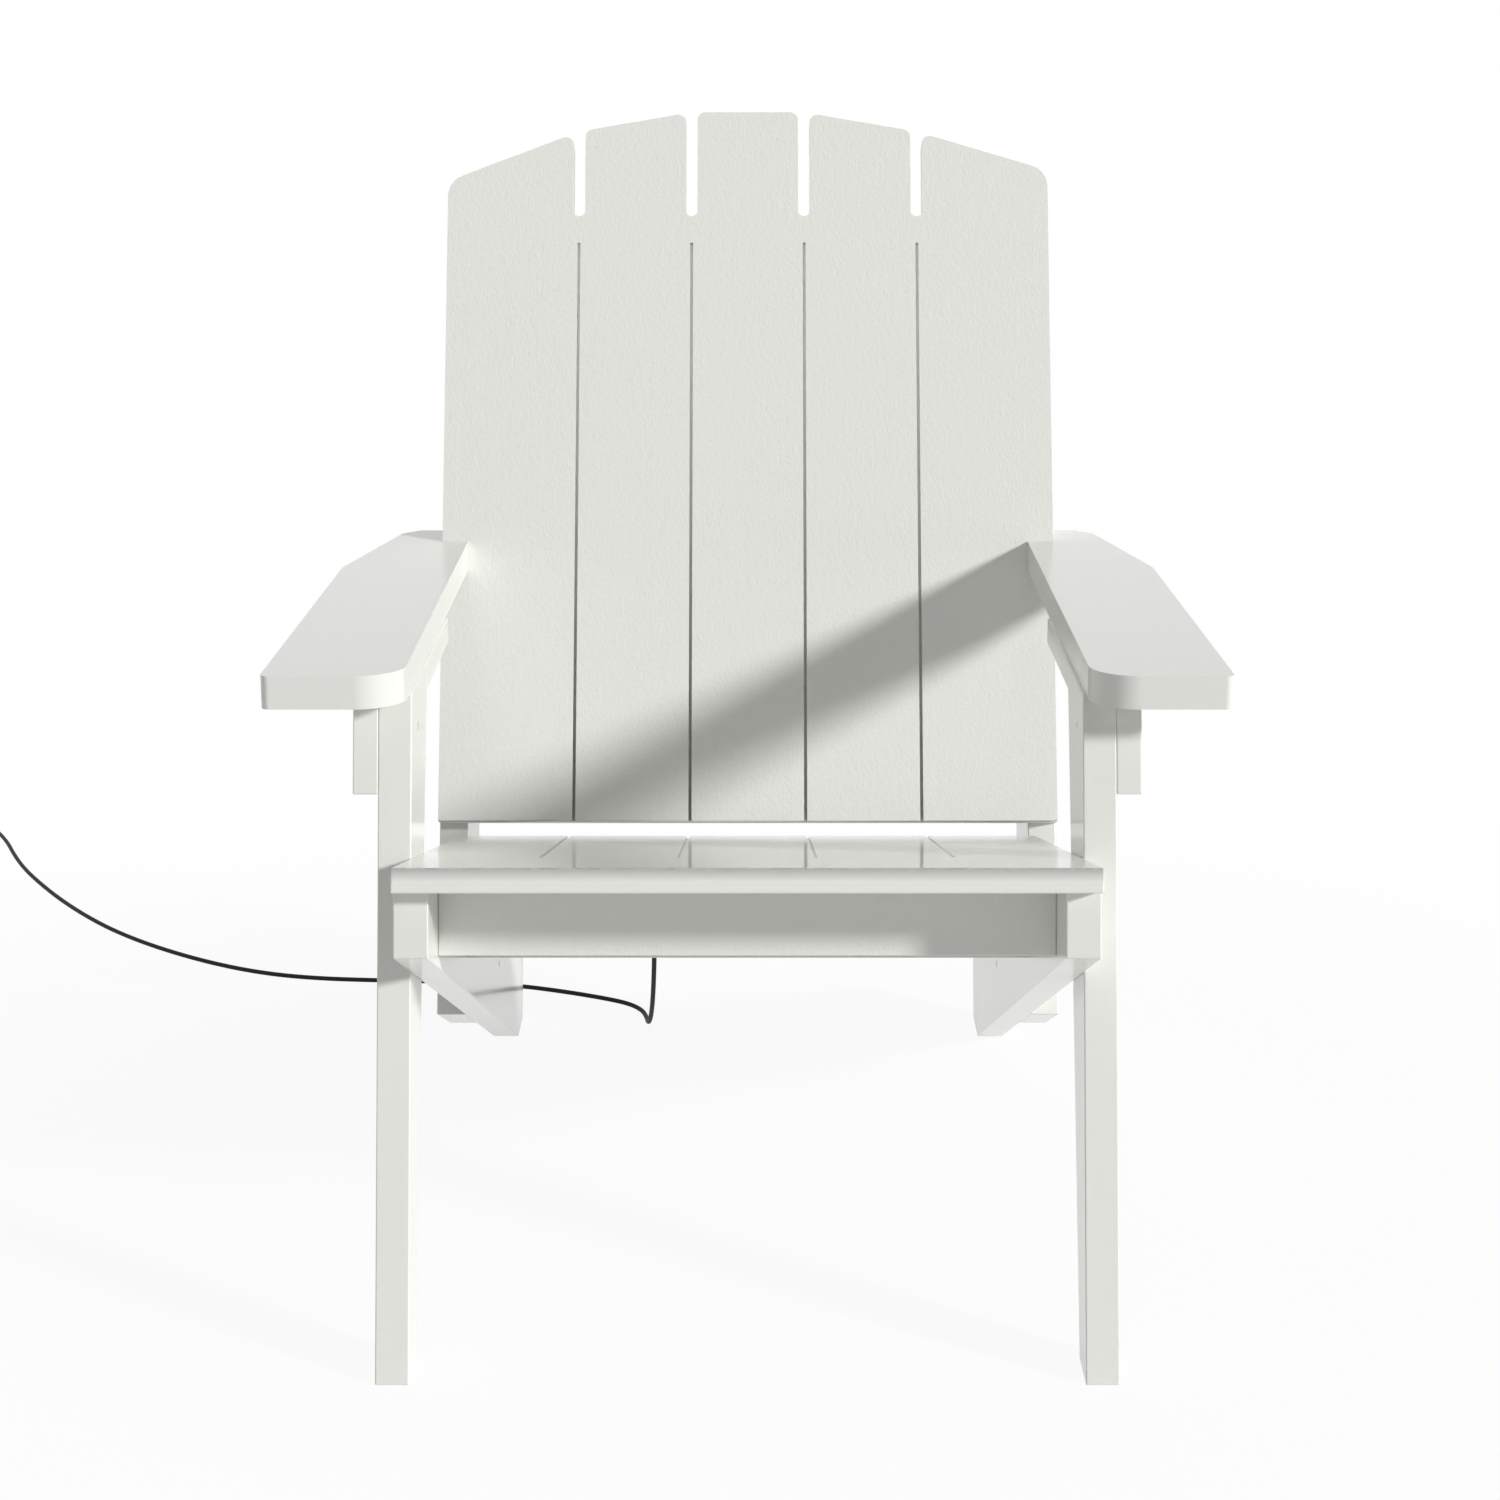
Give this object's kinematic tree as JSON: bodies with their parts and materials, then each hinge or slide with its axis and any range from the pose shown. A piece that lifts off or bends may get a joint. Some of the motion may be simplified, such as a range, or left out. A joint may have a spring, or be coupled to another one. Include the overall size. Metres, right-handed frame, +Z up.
{
  "type": "adirondack chair",
  "caption": "White garden armchair with a raked slatted back panel, a sloping seat, broad flat arms, leaning front legs and a thin black mains lead.",
  "frame": {"origin": "on the floor, under the middle of the chair's box without its lead", "axes": "+Z up, -Y towards the front of the seat, +X to the left of a person sitting in it"},
  "size_m": [1.5101, 1.7481, 0.9386],
  "materials": {
    "board_white": "satin, faintly grained",
    "panel_white": "matte, finely embossed",
    "fastener_steel": "satin stainless",
    "box_black": "fine texture",
    "gland_black": "soft matte",
    "lead_black": "soft sheen",
    "plug_black": "moulded satin",
    "blade_metal": "bright plated"
  },
  "bodies": {
    "root": {"arm_bracket_left": "board_white", "arm_bracket_right": "board_white", "arm_cleat_left": "board_white", "arm_cleat_right": "board_white", "arm_left": "board_white", "arm_rail_left": "board_white", "arm_rail_right": "board_white", "arm_right": "board_white", "arm_screws": "fastener_steel", "back_batten_lower": "board_white", "back_batten_upper": "board_white", "back_panel": "panel_white", "back_screws": "fastener_steel", "back_upright_left": "board_white", "back_upright_right": "board_white", "bracket_bolts": "fastener_steel", "bracket_nuts": "fastener_steel", "cable_gland": "gland_black", "cross_rail": "board_white", "front_apron": "board_white", "front_leg_left": "board_white", "front_leg_right": "board_white", "leg_bolts": "fastener_steel", "leg_nuts": "fastener_steel", "plug_body": "plug_black", "plug_pins": "blade_metal", "power_box": "box_black", "power_box_lid": "box_black", "power_cord": "lead_black", "rear_rail": "board_white", "seat_panel": "panel_white", "seat_rail_left": "board_white", "seat_rail_right": "board_white", "seat_screws": "fastener_steel", "upright_bolts": "fastener_steel", "upright_nuts": "fastener_steel"}
  },
  "joints": []
}
